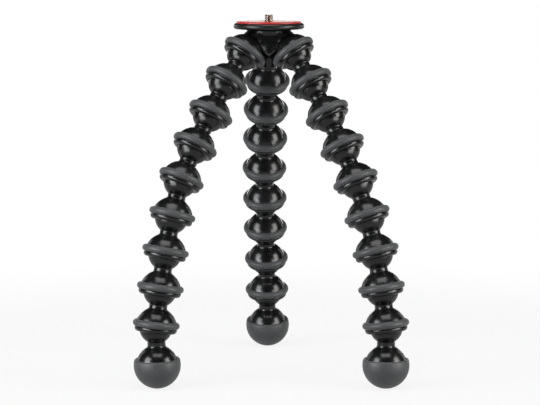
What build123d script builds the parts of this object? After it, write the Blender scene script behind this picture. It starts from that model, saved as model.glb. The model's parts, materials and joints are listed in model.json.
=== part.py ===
from build123d import *
import os
from math import acos, atan2, cos, degrees, hypot, radians, sin, sqrt

# Flexible leg tripod: a camera plate on a three-socket hub, and three legs of ball-jointed links.
# Millimetres, +Z up. The origin is the middle of the pad's top face, where a camera's base sits.
# Two legs come forward, towards -Y, and one goes back. Bearings are degrees from +X towards +Y.

# Camera plate: a turning disc with a rubber pad, driven onto a quarter-inch camera screw
plate_radius = 26.5
plate_thickness = 4.5
pad_margin = 2.3
pad_thickness = 1.8
pad_recess = 0.5
pad_bevel = 0.3
pad_hole_radius = 4.4
screw_radius = 3.175
screw_rise = 5.0
screw_tip_bevel = 0.5
screw_shank_radius = 4.0
screw_head_across_flats = 11.1
screw_head_thickness = 4.0
screw_head_side_room = 1.1
screw_head_under_room = 2.0

# Ball joint: the ball that heads each link and foot, and the seat that holds it
ball_radius = 12.25
ball_clearance = 0.05
neck_radius = 6.6
neck_ball_fillet = 1.2
neck_bell_fillet = 1.8
socket_wall = 1.65

# Bell: the dome over the seat, and the lip that keeps the ball in
bell_wall = 3.0
lip_step = 0.3
lip_edge = 0.5
lip_side = 0.5
lip_round = 2.4
mouth_bevel = 0.35

# Link: a ball on a neck above a bell
links_per_leg = 8
link_neck_length = 2.98

# Rubber grip ring, seated in a groove round the bell
grip_proud = 1.95
grip_half_height = 2.6
grip_lift = 2.4

# Foot: a ball, neck and dome like a link's, in a round rubber cap
foot_neck_length = 3.98
foot_dome_radius = 15.3
foot_cap_wall = 2.0
foot_cap_lift = 4.7
foot_cap_round = 1.2

# Hub: three sockets round a column, under a crown that closes it and carries the plate
socket_splay = 38.0
grip_spacing = 5.7
dome_drop = 2.8
column_overlap = 2.1
column_foot_radius = 5.5
column_taper = 6.0
column_drop = 10.8
column_rounding = 1.2
crown_inset = 5.4
crown_waist = 0.6
crown_waist_drop = 2.6
crown_roof = 4.9
crown_lift_over_grip = 2.4
crown_edge_round = 0.6

# Gaps between neighbours
screw_clearance = 0.05
plate_gap = 0.3
seat_gap = 0.03
seam_gap = 0.1
grip_room = 0.35

# How far a cut runs past what it cuts
cut_overrun = 40.0

# The sockets' bearings, and each leg's own bearing once its first ball is turned in the socket
socket_bearings = {"left": 210.0, "right": 330.0, "rear": 90.0}
leg_bearings = {"left": 217.2, "right": 322.8, "rear": 90.0}
socket_half_step = 60.0

# How each link, and last the foot, tilts out from the vertical in the leg's own plane, in degrees
link_tilts = {
    "left": [39, 32, 32, 27, 17, 13, 10, 8, -2],
    "right": [35, 34, 30, 26, 22, 16, 11, 8, 0],
    "rear": [27, 30, 30, 25, 22, 22, 18, 13, 10],
}

# How the same pieces lean out of that plane, to the side that bearings grow towards
link_leans = {
    "left": [0, 0, 0, 0, 0, 0, 0, 0, 0],
    "right": [0, 0, 0, 0, 0, 0, 0, 0, 0],
    "rear": [2, 2, 1, 1, -1, -1, -2, -1, -1],
}

# Sizes across a ball joint
seat_radius = ball_radius + ball_clearance
bell_radius = seat_radius + bell_wall
grip_seat_radius = seat_radius + socket_wall
grip_radius = bell_radius + grip_proud
grip_round_centre = grip_radius - grip_half_height
lip_radius = bell_radius + lip_step
foot_radius = foot_dome_radius + foot_cap_wall

# Heights from a seat's centre, along the bell's axis
grip_top = grip_lift + grip_half_height
grip_bottom = grip_lift - grip_half_height
lip_bottom = grip_bottom - lip_edge - lip_side - lip_round
mouth_height = lip_bottom + mouth_bevel
mouth_radius = sqrt(seat_radius**2 - mouth_height**2)
groove_top_radius = sqrt(bell_radius**2 - grip_top**2)

# Where the neck leaves the ball and meets the dome below it
neck_below_ball = sqrt(ball_radius**2 - neck_radius**2)
neck_above_bell = sqrt(bell_radius**2 - neck_radius**2)
neck_above_foot = sqrt(foot_dome_radius**2 - neck_radius**2)
link_pitch = neck_below_ball + link_neck_length + neck_above_bell
foot_reach = neck_below_ball + foot_neck_length + neck_above_foot

# Heights along the hub's axis
pad_radius = plate_radius - pad_margin
pad_bottom = -pad_thickness
plate_top = pad_bottom + pad_recess
plate_bottom = plate_top - plate_thickness
crown_top = plate_bottom - plate_gap
crown_roof_bottom = crown_top - crown_roof
screw_head_top = crown_roof_bottom - screw_clearance
screw_head_bottom = screw_head_top - screw_head_thickness
screw_head_corner = screw_head_across_flats / 2 / cos(radians(30))
column_top = screw_head_bottom - screw_head_under_room
socket_height = crown_top - dome_drop - bell_radius
column_bottom = socket_height - column_drop

# Neighbouring grip rings on the hub keep their spacing, which sets how far out the sockets stand
grip_core_reach = grip_round_centre * sqrt(
    1 - (sin(radians(socket_splay)) * sin(radians(socket_half_step))) ** 2
)
grip_centre_out = (
    grip_spacing / 2 + grip_half_height + grip_core_reach
) / sin(radians(socket_half_step))
socket_spread = grip_centre_out + grip_lift * sin(radians(socket_splay))
column_radius = socket_spread - bell_radius + column_overlap
crown_radius = socket_spread - crown_inset
crown_waist_radius = crown_radius - crown_waist
crown_skirt_height = grip_top + crown_lift_over_grip


def outward(bearing):
    """The level direction of a bearing."""
    return Vector(cos(radians(bearing)), sin(radians(bearing)), 0)


def down_along(bearing, tilt, lean=0.0):
    """The direction down a piece that tilts out along a bearing and leans to one side of it."""
    out = outward(bearing)
    side = Vector(0, 0, 1).cross(out)
    in_plane = out * sin(radians(tilt)) - Vector(0, 0, 1) * cos(radians(tilt))
    return in_plane * cos(radians(lean)) + side * sin(radians(lean))


def piece_plane(centre, down, bearing):
    """A plane at a ball's centre: its Y runs up the piece's axis and its X points outwards."""
    up = down * -1
    side = Vector(0, 0, 1).cross(outward(bearing))
    across = side.cross(up).normalized()
    return Plane(origin=centre, x_dir=across, z_dir=across.cross(up))


def leg_reach(leg):
    """How far out and how far down a leg's foot lies from its first ball, as its tilts stand."""
    lengths = [link_pitch] * links_per_leg + [foot_reach]
    bearing = leg_bearings[leg]
    total = Vector(0, 0, 0)
    for length, tilt, lean in zip(lengths, link_tilts[leg], link_leans[leg]):
        total += down_along(bearing, tilt, lean) * length
    return total.dot(outward(bearing)), -total.Z


def level_swing(leg):
    """The swing at the hub, in degrees, that sets a leg's foot level with the left leg's foot."""
    out, drop = leg_reach(leg)
    level = leg_reach("left")[1]
    return degrees(acos(level / hypot(out, drop)) - atan2(out, drop))


def socket_plane(leg):
    """The plane of the hub's socket for a leg, at the centre of its ball seat."""
    bearing = socket_bearings[leg]
    centre = outward(bearing) * socket_spread + Vector(0, 0, socket_height)
    return piece_plane(centre, down_along(bearing, socket_splay), bearing)


def leg_planes(leg):
    """The planes of a leg's links and foot, each at that piece's own ball, from the hub down."""
    swing = level_swing(leg)
    bearing = leg_bearings[leg]
    centre = socket_plane(leg).origin
    planes = []
    for tilt, lean in zip(link_tilts[leg], link_leans[leg]):
        down = down_along(bearing, tilt + swing, lean)
        planes.append(piece_plane(centre, down, bearing))
        centre = centre + down * link_pitch
    return planes


def axis_of(plane):
    """The axis up a piece, which all its round shapes turn about."""
    return Axis(plane.origin, plane.y_dir)


def draw_ball_and_neck(neck_end):
    """Draw, inside a BuildLine, a ball's section from its top and the neck down to a height."""
    ThreePointArc((0, ball_radius), (ball_radius, 0), (neck_radius, -neck_below_ball))
    Line((neck_radius, -neck_below_ball), (neck_radius, neck_end))


def draw_bell(start, centre):
    """Draw, inside a BuildLine, a bell's section from a point on its dome to its seat's top."""
    shoulder = bell_radius * cos(radians(45))
    round_centre = (lip_radius - lip_round, centre + lip_bottom + lip_round)
    ThreePointArc(start, (shoulder, centre + shoulder), (groove_top_radius, centre + grip_top))
    Polyline(
        (groove_top_radius, centre + grip_top),
        (grip_seat_radius, centre + grip_top),
        (grip_seat_radius, centre + grip_bottom),
        (lip_radius - lip_edge, centre + grip_bottom),
        (lip_radius, centre + grip_bottom - lip_edge),
        (lip_radius, centre + lip_bottom + lip_round),
    )
    CenterArc(round_centre, lip_round, 0, -90)
    Polyline(
        (lip_radius - lip_round, centre + lip_bottom),
        (mouth_radius + mouth_bevel, centre + lip_bottom),
        (mouth_radius, centre + mouth_height),
    )
    ThreePointArc(
        (mouth_radius, centre + mouth_height),
        (seat_radius, centre),
        (0, centre + seat_radius),
    )


def neck_edges(piece, plane):
    """The two edges that end a piece's neck, the one at the dome first."""
    rounds = piece.edges().filter_by(GeomType.CIRCLE)
    ends = rounds.filter_by(lambda edge: abs(edge.radius - neck_radius) < seat_gap)
    return ends.sort_by(axis_of(plane))


def build_link(plane):
    """One link: ball, neck and bell with its groove, lip and ball seat."""
    neck_end = neck_above_bell - link_pitch
    with BuildPart() as link:
        with BuildSketch(plane):
            with BuildLine():
                draw_ball_and_neck(neck_end)
                draw_bell((neck_radius, neck_end), -link_pitch)
                Line((0, seat_radius - link_pitch), (0, ball_radius))
            make_face()
        revolve(axis=axis_of(plane))
        fillet(neck_edges(link, plane)[-1], radius=neck_ball_fillet)
        fillet(neck_edges(link, plane)[0], radius=neck_bell_fillet)
    return link


def build_grip_rings(planes, centre):
    """Rubber rings round the bells whose seats lie at one height on each of the given planes."""
    inner = grip_seat_radius + seat_gap
    with BuildPart() as rings:
        for plane in planes:
            with BuildSketch(plane):
                with BuildLine():
                    Polyline(
                        (grip_round_centre, centre + grip_bottom),
                        (inner, centre + grip_bottom),
                        (inner, centre + grip_top),
                        (grip_round_centre, centre + grip_top),
                    )
                    CenterArc((grip_round_centre, centre + grip_lift), grip_half_height, -90, 180)
                make_face()
            revolve(axis=axis_of(plane))
    return rings


def build_foot_core(plane):
    """A foot's hard core: ball, neck and a dome that ends in a whole sphere inside the cap."""
    neck_end = neck_above_foot - foot_reach
    with BuildPart() as core:
        with BuildSketch(plane):
            with BuildLine():
                draw_ball_and_neck(neck_end)
                ThreePointArc(
                    (neck_radius, neck_end),
                    (foot_dome_radius, -foot_reach),
                    (0, -foot_reach - foot_dome_radius),
                )
                Line((0, -foot_reach - foot_dome_radius), (0, ball_radius))
            make_face()
        revolve(axis=axis_of(plane))
        fillet(neck_edges(core, plane)[-1], radius=neck_ball_fillet)
        fillet(neck_edges(core, plane)[0], radius=neck_bell_fillet)
    return core


def build_foot_cap(plane):
    """A foot's rubber cap: a round shell from its rim down under the core."""
    rim = foot_cap_lift - foot_reach
    inner_radius = foot_dome_radius + seat_gap
    rim_radius = sqrt(foot_radius**2 - foot_cap_lift**2)
    rim_inner_radius = sqrt(inner_radius**2 - foot_cap_lift**2)
    with BuildPart() as cap:
        with BuildSketch(plane):
            with BuildLine():
                ThreePointArc((0, -foot_reach - foot_radius), (foot_radius, -foot_reach), (rim_radius, rim))
                Line((rim_radius, rim), (rim_inner_radius, rim))
                ThreePointArc(
                    (rim_inner_radius, rim),
                    (inner_radius, -foot_reach),
                    (0, -foot_reach - inner_radius),
                )
                Line((0, -foot_reach - inner_radius), (0, -foot_reach - foot_radius))
            make_face()
        revolve(axis=axis_of(plane))
        rim_edges = cap.edges().group_by(axis_of(plane))[-1]
        fillet(rim_edges.sort_by(SortBy.LENGTH)[-1], radius=foot_cap_round)
    return cap


def build_hub_body(planes):
    """The hub's body: three bells joined by a tapered column."""
    with BuildPart() as body:
        with BuildSketch(Plane.XZ):
            with BuildLine():
                Polyline(
                    (0, column_top),
                    (column_radius, column_top),
                    (column_radius, column_bottom + column_rounding + column_taper),
                    (column_foot_radius, column_bottom + column_rounding),
                    (column_foot_radius - column_rounding, column_bottom),
                    (0, column_bottom),
                    (0, column_top),
                )
            make_face()
        revolve(axis=Axis.Z)
        for plane in planes:
            with BuildSketch(plane):
                with BuildLine():
                    draw_bell((0, bell_radius), 0)
                    Line((0, seat_radius), (0, bell_radius))
                make_face()
            revolve(axis=axis_of(plane))
        for plane in planes:
            with BuildSketch(plane):
                with BuildLine():
                    Polyline(
                        (grip_seat_radius, grip_bottom),
                        (grip_radius + grip_room, grip_bottom),
                        (grip_radius + grip_room, grip_top + grip_room),
                        (groove_top_radius, grip_top + grip_room),
                        (groove_top_radius, grip_top),
                        (grip_seat_radius, grip_top),
                        (grip_seat_radius, grip_bottom),
                    )
                make_face()
            revolve(axis=axis_of(plane), mode=Mode.SUBTRACT)
    return body


def build_hub_crown(planes):
    """The crown: a roof over the screw's head, with a panel down between each two domes."""
    bore_radius = screw_shank_radius + screw_clearance
    head_room_radius = screw_head_corner + screw_head_side_room
    skirt_radius = column_radius + seat_gap
    with BuildPart() as crown:
        with BuildSketch(Plane.XZ):
            with BuildLine():
                Polyline(
                    (bore_radius, crown_top),
                    (crown_radius - crown_edge_round, crown_top),
                    (crown_radius, crown_top - crown_edge_round),
                    (crown_waist_radius, crown_top - crown_waist_drop),
                    (crown_waist_radius, column_bottom),
                    (skirt_radius, column_bottom),
                    (skirt_radius, column_top + seat_gap),
                    (head_room_radius, column_top + seat_gap),
                    (head_room_radius, crown_roof_bottom),
                    (bore_radius, crown_roof_bottom),
                    (bore_radius, crown_top),
                )
            make_face()
        revolve(axis=Axis.Z)
        with Locations([plane.origin for plane in planes]):
            Sphere(bell_radius + seam_gap, mode=Mode.SUBTRACT)
        for plane in planes:
            skirt = Plane(plane.origin + plane.y_dir * crown_skirt_height, z_dir=plane.y_dir)
            with BuildSketch(skirt):
                Circle(cut_overrun)
            extrude(amount=-cut_overrun, mode=Mode.SUBTRACT)
    return crown


def build_camera_plate():
    """The plate: a disc with a full round rim, bored for the screw and recessed for the pad."""
    bore_radius = screw_shank_radius + seat_gap
    rim_centre = (plate_radius - plate_thickness / 2, plate_top - plate_thickness / 2)
    with BuildPart() as plate:
        with BuildSketch(Plane.XZ):
            with BuildLine():
                CenterArc(rim_centre, plate_thickness / 2, -90, 180)
                Polyline(
                    (plate_radius - plate_thickness / 2, plate_top),
                    (pad_radius + seat_gap, plate_top),
                    (pad_radius + seat_gap, pad_bottom),
                    (bore_radius, pad_bottom),
                    (bore_radius, plate_bottom),
                    (plate_radius - plate_thickness / 2, plate_bottom),
                )
            make_face()
        revolve(axis=Axis.Z)
    return plate


def build_plate_pad():
    """The rubber pad that the camera's base is drawn down on."""
    with BuildPart() as pad:
        with BuildSketch(Plane.XY):
            Circle(pad_radius)
            Circle(pad_hole_radius, mode=Mode.SUBTRACT)
        extrude(amount=-pad_thickness)
        top_edges = pad.edges().group_by(Axis.Z)[-1]
        chamfer(top_edges.sort_by(SortBy.LENGTH)[-1], length=pad_bevel)
    return pad


def build_camera_screw():
    """The quarter-inch screw: tip above the pad, shank through plate and crown, head below."""
    with BuildPart() as screw:
        with BuildSketch(Plane.XY.offset(screw_head_bottom)):
            RegularPolygon(screw_head_across_flats / 2, side_count=6, major_radius=False)
        extrude(amount=screw_head_thickness)
        with BuildSketch(Plane.XY.offset(screw_head_top)):
            Circle(screw_shank_radius)
        extrude(amount=pad_bottom - screw_head_top)
        with BuildSketch(Plane.XY.offset(pad_bottom)):
            Circle(screw_radius)
        extrude(amount=screw_rise - pad_bottom)
        tip = screw.edges().group_by(Axis.Z)[-1]
        chamfer(tip, length=screw_tip_bevel)
    return screw


def save(piece, name):
    """Label a finished piece and write it to its own file."""
    piece.part.label = name
    export_step(piece.part, f"parts/{name}.step")
    return piece


os.makedirs("parts", exist_ok=True)

hub_planes = [socket_plane(leg) for leg in socket_bearings]
save(build_hub_body(hub_planes), "hub_body")
save(build_hub_crown(hub_planes), "hub_crown")
save(build_grip_rings(hub_planes, 0), "hub_grip_rings")
save(build_camera_plate(), "camera_plate")
save(build_plate_pad(), "plate_pad")
save(build_camera_screw(), "camera_screw")

for leg in socket_bearings:
    planes = leg_planes(leg)
    for number, plane in enumerate(planes[:links_per_leg], start=1):
        save(build_link(plane), f"{leg}_link_{number}")
        save(build_grip_rings([plane], -link_pitch), f"{leg}_grip_ring_{number}")
    save(build_foot_core(planes[-1]), f"{leg}_foot_core")
    save(build_foot_cap(planes[-1]), f"{leg}_foot_cap")

floor_height = socket_height - leg_reach("left")[1] - foot_radius
print(f"link pitch {link_pitch:.2f}, foot reach {foot_reach:.2f}, spread {socket_spread:.2f}")
print(f"socket height {socket_height:.2f}, floor {floor_height:.2f}")
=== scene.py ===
"""Flexible leg tripod: every visible piece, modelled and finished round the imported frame.

The frame's joints give the centre of each ball, so each piece is modelled once round the origin,
in metres, and its copies are stood on those centres. +Z is up and the camera looks along +Y.
"""

import json
import logging
import math
from dataclasses import dataclass
from enum import Enum
from functools import cached_property
from typing import Any, Callable, Optional, Sequence, Union

import bpy
from mathutils import Matrix, Vector


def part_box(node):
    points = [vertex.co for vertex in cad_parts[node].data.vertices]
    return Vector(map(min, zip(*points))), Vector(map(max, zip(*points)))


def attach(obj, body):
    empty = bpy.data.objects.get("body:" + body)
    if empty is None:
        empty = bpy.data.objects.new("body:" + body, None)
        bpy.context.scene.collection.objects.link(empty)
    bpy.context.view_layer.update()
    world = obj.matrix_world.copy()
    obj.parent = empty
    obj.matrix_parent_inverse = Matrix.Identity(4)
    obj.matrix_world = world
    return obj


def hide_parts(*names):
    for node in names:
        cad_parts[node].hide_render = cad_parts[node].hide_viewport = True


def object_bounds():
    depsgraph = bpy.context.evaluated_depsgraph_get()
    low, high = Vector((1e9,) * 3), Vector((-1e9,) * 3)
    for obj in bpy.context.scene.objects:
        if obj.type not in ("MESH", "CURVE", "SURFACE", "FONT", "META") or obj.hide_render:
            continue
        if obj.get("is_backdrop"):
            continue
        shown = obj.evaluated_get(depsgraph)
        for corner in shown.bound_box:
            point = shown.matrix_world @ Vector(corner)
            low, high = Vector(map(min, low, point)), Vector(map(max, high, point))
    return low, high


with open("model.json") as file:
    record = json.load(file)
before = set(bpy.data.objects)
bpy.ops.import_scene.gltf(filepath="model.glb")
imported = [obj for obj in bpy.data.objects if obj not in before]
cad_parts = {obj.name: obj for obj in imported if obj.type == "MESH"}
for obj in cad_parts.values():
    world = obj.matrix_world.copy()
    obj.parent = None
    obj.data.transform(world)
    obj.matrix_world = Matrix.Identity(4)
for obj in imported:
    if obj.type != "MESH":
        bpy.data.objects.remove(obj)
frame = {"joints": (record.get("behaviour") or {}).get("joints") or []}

LOG = logging.getLogger("tripod")
MILLIMETRE = 0.001
WELD = 1e-6
FULL_TURN = 2 * math.pi
UP = Vector((0, 0, 1))

# The largest angles between two points of an arc, in degrees, finer on larger forms.
DOME_STEP = 3.5
LIP_STEP = 7.0
ROUND_STEP = 7.5
FILLET_STEP = 9.0
RIM_STEP = 12.0

Point = tuple[float, float]
Colour = tuple[float, float, float]
Piece = bpy.types.Object
Material = bpy.types.Material
Socket = bpy.types.NodeSocket


class Leg(Enum):
    """The three legs, by the names that their CAD nodes start with."""

    LEFT = "left"
    RIGHT = "right"
    REAR = "rear"


class Slot(Enum):
    """The record's material slots."""

    GLOSS = "gloss_black_plastic"
    GRIP = "grip_rubber"
    PAD = "pad_rubber"
    SCREW = "screw_steel"


@dataclass(frozen=True)
class Value:
    """A number that varies over a surface. Sums on it add Math nodes to its finish."""

    finish: "FinishTree"
    socket: Socket

    def _sum(self, operation: str, first: "Number", second: "Number") -> "Value":
        """Adds one Math node for an operation on two numbers."""
        inputs = {0: first, 1: second}
        return self.finish.value(0, "ShaderNodeMath", {"operation": operation}, inputs)

    def __add__(self, other: "Number") -> "Value":
        """Adds a number."""
        return self._sum("ADD", self, other)

    def __mul__(self, other: "Number") -> "Value":
        """Multiplies by a number."""
        return self._sum("MULTIPLY", self, other)

    def __sub__(self, other: "Number") -> "Value":
        """Takes a number away."""
        return self._sum("SUBTRACT", self, other)

    def __rsub__(self, other: "Number") -> "Value":
        """Takes this value away from a number."""
        return self._sum("SUBTRACT", other, self)

    __radd__ = __add__
    __rmul__ = __mul__


Number = Union[Value, float]


@dataclass(frozen=True)
class Patches:
    """Soft patches of noise, 0 below the low limit and 1 above the high one."""

    grain: float
    low: float
    high: float
    detail: float = 3.0
    roughness: float = 0.5


@dataclass(frozen=True)
class Skin:
    """A relief of fine noise: its grain and depth, in metres, and how much of it shows."""

    grain: float
    depth: float
    strength: float
    detail: float = 2.0
    roughness: float = 0.5


class FinishTree:
    """The node tree of one material or of the world."""

    def __init__(self, tree: bpy.types.NodeTree) -> None:
        """Empties a tree, ready for its nodes."""
        self.tree = tree
        self.tree.nodes.clear()

    def node(
        self,
        kind: str,
        settings: Optional[dict[str, Any]] = None,
        inputs: Optional[dict[Union[int, str], Any]] = None,
    ) -> bpy.types.Node:
        """Adds a node.

        Args:
            kind: The node's type.
            settings: Its own settings, set first.
            inputs: A value or a link for each named or numbered socket.

        Returns:
            The new node.
        """
        node = self.tree.nodes.new(kind)
        for name, setting in (settings or {}).items():
            setattr(node, name, setting)
        for name, value in (inputs or {}).items():
            socket = node.inputs[name]
            source = value.socket if isinstance(value, Value) else value
            if isinstance(source, Socket):
                self.tree.links.new(source, socket)
            else:
                socket.default_value = value
        return node

    def value(self, output: Union[int, str], kind: str, *setup: Optional[dict]) -> Value:
        """Adds a node, set up as in node(), and gives one of its outputs as a value."""
        return Value(self, self.node(kind, *setup).outputs[output])

    def place(self) -> Socket:
        """The surface point in object coordinates, in metres."""
        return self.node("ShaderNodeTexCoord").outputs["Object"]

    def height(self) -> Value:
        """The surface point's height in object coordinates, in metres."""
        return self.value("Z", "ShaderNodeSeparateXYZ", None, {0: self.place()})

    def looked_at(self) -> Value:
        """Tells the rays that end up in the camera from the ones that only carry light.

        Returns:
            1 for a ray from the camera, or through or off something glossy, and 0 otherwise.
        """
        ray = self.node("ShaderNodeLightPath")
        camera, glossy, passed = (
            Value(self, ray.outputs[f"Is {kind} Ray"])
            for kind in ("Camera", "Glossy", "Transmission")
        )
        return camera + glossy + passed

    def noise(self, pattern: Union[Patches, Skin]) -> Value:
        """Smooth noise.

        Args:
            pattern: Its grain in metres, its finer layers and how strong they are.

        Returns:
            The noise, from 0 to 1.
        """
        inputs = {
            "Vector": self.place(),
            "Scale": 1 / pattern.grain,
            "Detail": pattern.detail,
            "Roughness": pattern.roughness,
        }
        return self.value("Fac", "ShaderNodeTexNoise", {"noise_dimensions": "3D"}, inputs)

    def patches(self, patches: Patches) -> Value:
        """Soft patches of noise, from 0 to 1."""
        return self.band(self.noise(patches), patches.low, patches.high)

    def band(self, value: Value, low: float, high: float) -> Value:
        """Spreads the part of a value between two limits over 0 to 1, and clamps the rest.

        Args:
            value: The value to spread.
            low: The limit that becomes 0.
            high: The limit that becomes 1.

        Returns:
            The spread value.
        """
        inputs = {"Value": value, "From Min": low, "From Max": high}
        settings = {"interpolation_type": "SMOOTHSTEP"}
        return self.value("Result", "ShaderNodeMapRange", settings, inputs)

    def blend(self, amount: Value, first: Any, second: Any) -> Socket:
        """Mixes two colours.

        Args:
            amount: How much of the second there is, from 0 to 1.
            first: A colour, or a socket that gives one.
            second: A colour, or a socket that gives one.

        Returns:
            The socket that gives the mixed colour.
        """
        full = [(*c, 1.0) if isinstance(c, tuple) else c for c in (first, second)]
        settings = {"data_type": "RGBA"}
        node = self.node("ShaderNodeMix", settings, {0: amount, 6: full[0], 7: full[1]})
        return node.outputs[2]

    def relief(self, skin: Skin, height: Value, under: Optional[Socket] = None) -> Socket:
        """A bumped normal.

        Args:
            skin: How deep the relief's full range is and how much of it shows.
            height: The relief, from 0 to 1.
            under: A bumped normal that it lies on.

        Returns:
            The socket that gives the normal.
        """
        inputs = {"Height": height, "Distance": skin.depth, "Strength": skin.strength}
        if under:
            inputs["Normal"] = under
        return self.node("ShaderNodeBump", None, inputs).outputs["Normal"]

    def principled(self, inputs: dict[str, Any]) -> Socket:
        """Adds a principled shader and returns its output."""
        return self.node("ShaderNodeBsdfPrincipled", None, inputs).outputs["BSDF"]


class Finish:
    """A finish that is made into one material."""

    name: str

    def fill(self, tree: FinishTree) -> Socket:
        """Adds the finish's nodes and returns the shader's output."""
        raise NotImplementedError

    def make(self) -> Material:
        """Makes the material.

        Returns:
            The new material, with the finish's name.
        """
        material = bpy.data.materials.new(self.name)
        material.use_nodes = True
        tree = FinishTree(material.node_tree)
        surface = self.fill(tree)
        tree.node("ShaderNodeOutputMaterial", None, {"Surface": surface})
        return material


@dataclass(frozen=True)
class GlossPlastic(Finish):
    """Hard black plastic from a polished mould: faint orange peel, handling haze, a little dust."""

    name: str = "black_moulded_plastic"
    colour: Colour = (0.0050, 0.0051, 0.0053)
    haze_colour: Colour = (0.0085, 0.0087, 0.0090)
    roughness: float = 0.21
    haze_roughness: float = 0.06
    scuff_roughness: float = 0.04
    haze: Patches = Patches(0.016, 0.42, 0.68)
    scuffs: Patches = Patches(0.0011, 0.66, 0.80, 4.0, 0.6)
    peel: Skin = Skin(0.0030, 0.0000025, 0.6, 1.0)
    fine: Skin = Skin(0.00045, 0.0000003, 0.5)
    refraction: float = 1.45

    def fill(self, tree: FinishTree) -> Socket:
        """Adds the plastic's nodes.

        Args:
            tree: The material's empty node tree.

        Returns:
            The shader's output.
        """
        haze = tree.patches(self.haze)
        scuff = tree.patches(self.scuffs)
        rough = haze * self.haze_roughness + scuff * haze * self.scuff_roughness + self.roughness
        peel = tree.relief(self.peel, tree.noise(self.peel))
        return tree.principled({
            "Base Color": tree.blend(haze, self.colour, self.haze_colour),
            "Roughness": rough,
            "IOR": self.refraction,
            "Normal": tree.relief(self.fine, tree.noise(self.fine), peel),
        })


@dataclass(frozen=True)
class GripRubber(Finish):
    """Charcoal rubber with a fine matte skin, a shade paler where fingers have rubbed it."""

    name: str = "charcoal_grip_rubber"
    colour: Colour = (0.040, 0.042, 0.044)
    rubbed_colour: Colour = (0.048, 0.050, 0.052)
    speck_colour: Colour = (0.066, 0.068, 0.070)
    roughness: float = 0.47
    rubbed_roughness: float = -0.05
    skin_roughness: float = 0.1
    rubbed: Patches = Patches(0.011, 0.40, 0.66)
    skin: Skin = Skin(0.00042, 0.000016, 0.7, 3.0, 0.6)
    speck_from: float = 0.66
    speck_full: float = 0.78
    speck_share: float = 0.5
    sheen: float = 0.12
    sheen_roughness: float = 0.5
    refraction: float = 1.46

    def fill(self, tree: FinishTree) -> Socket:
        """Adds the rubber's nodes.

        Args:
            tree: The material's empty node tree.

        Returns:
            The shader's output.
        """
        rubbed = tree.patches(self.rubbed)
        skin = tree.noise(self.skin)
        speck = tree.band(skin, self.speck_from, self.speck_full) * self.speck_share
        colour = tree.blend(rubbed, self.colour, self.rubbed_colour)
        rough = rubbed * self.rubbed_roughness + skin * self.skin_roughness + self.roughness
        return tree.principled({
            "Base Color": tree.blend(speck, colour, self.speck_colour),
            "Roughness": rough,
            "IOR": self.refraction,
            "Sheen Weight": self.sheen,
            "Sheen Roughness": self.sheen_roughness,
            "Normal": tree.relief(self.skin, skin),
        })


@dataclass(frozen=True)
class PadRubber(Finish):
    """Red rubber of the camera pad: a fine even grain, polished on top by the cameras it held, with
    the top face's colour darkened as painted shade.
    """

    name: str = "red_pad_rubber"
    colour: Colour = (0.50, 0.019, 0.014)
    # Darker red for random patches and for the painted shade on the top face.
    tone_and_top_shade_colour: Colour = (0.30, 0.013, 0.011)
    roughness: float = 0.42
    worn_roughness: float = -0.20
    grain_roughness: float = 0.06
    # Heights that mark the top face: smoother there, and darkened in colour as painted shade.
    top_face_from: float = -0.0004
    top_face_full: float = -0.0001
    # How much painted shade darkens the top face's colour.
    top_shade_share: float = 0.4
    patches: Patches = Patches(0.009, 0.35, 0.70)
    patch_share: float = 0.6
    skin: Skin = Skin(0.0006, 0.00002, 0.5)
    refraction: float = 1.5

    def fill(self, tree: FinishTree) -> Socket:
        """Adds the pad's nodes.

        Args:
            tree: The material's empty node tree.

        Returns:
            The shader's output.
        """
        patch = tree.patches(self.patches)
        skin = tree.noise(self.skin)
        # Mask of the top face: it lowers the roughness and carries the painted shade.
        worn = tree.band(tree.height(), self.top_face_from, self.top_face_full)
        # Random darker patches, plus painted shade on the top face.
        tone_and_top_shade = patch * self.patch_share + worn * self.top_shade_share
        return tree.principled({
            "Base Color": tree.blend(tone_and_top_shade, self.colour, self.tone_and_top_shade_colour),
            "Roughness": worn * self.worn_roughness + skin * self.grain_roughness + self.roughness,
            "IOR": self.refraction,
            "Normal": tree.relief(self.skin, skin),
        })


@dataclass(frozen=True)
class ScrewSteel(Finish):
    """Plated steel of the camera screw, faintly yellow, with fine turning marks round its axis."""

    name: str = "plated_screw_steel"
    colour: Colour = (0.36, 0.30, 0.24)
    worn_colour: Colour = (0.50, 0.46, 0.41)
    roughness: float = 0.20
    mark_roughness: float = 0.10
    mark_pitch: float = 0.00012
    wear: Patches = Patches(0.0018, 0.45, 0.65, 4.0)

    def fill(self, tree: FinishTree) -> Socket:
        """Adds the steel's nodes.

        Args:
            tree: The material's empty node tree.

        Returns:
            The shader's output.
        """
        worn = tree.patches(self.wear)
        wave = tree.height() * (FULL_TURN / self.mark_pitch)
        mark = tree.value(0, "ShaderNodeMath", {"operation": "SINE"}, {0: wave}) * 0.5 + 0.5
        return tree.principled({
            "Base Color": tree.blend(worn, self.colour, self.worn_colour),
            "Roughness": mark * self.mark_roughness * worn + self.roughness,
            "Metallic": 1.0,
        })


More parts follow.
